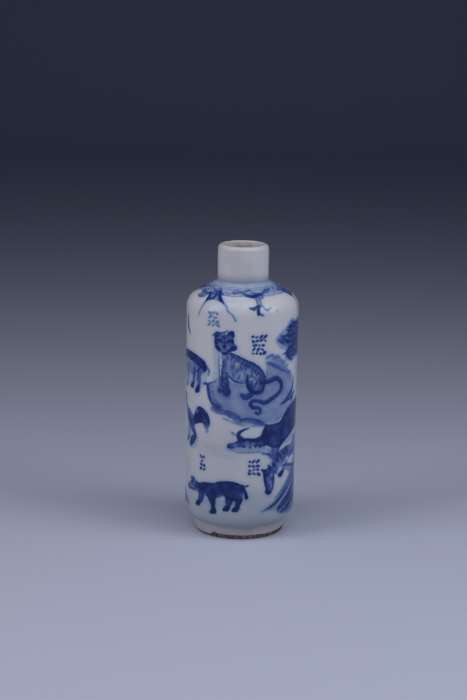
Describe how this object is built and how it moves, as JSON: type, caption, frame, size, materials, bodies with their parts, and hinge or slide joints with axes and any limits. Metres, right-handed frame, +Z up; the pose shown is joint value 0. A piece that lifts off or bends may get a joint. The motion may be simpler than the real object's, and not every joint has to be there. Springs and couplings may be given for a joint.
{
  "type": "snuff bottle",
  "caption": "Small cylindrical porcelain bottle, hollow and open, with a sloping shoulder, narrow neck and foot ring, painted with animals in underglaze blue.",
  "frame": {"origin": "centre of the circle that the foot ring stands on", "axes": "+Z up along the axis of the bottle, from the foot to the mouth; -Y is the side that carries the main picture"},
  "size_m": [0.0306, 0.0306, 0.08],
  "materials": {
    "glazed_porcelain": "glossy"
  },
  "bodies": {
    "root": {"bottle": "glazed_porcelain"}
  },
  "joints": []
}
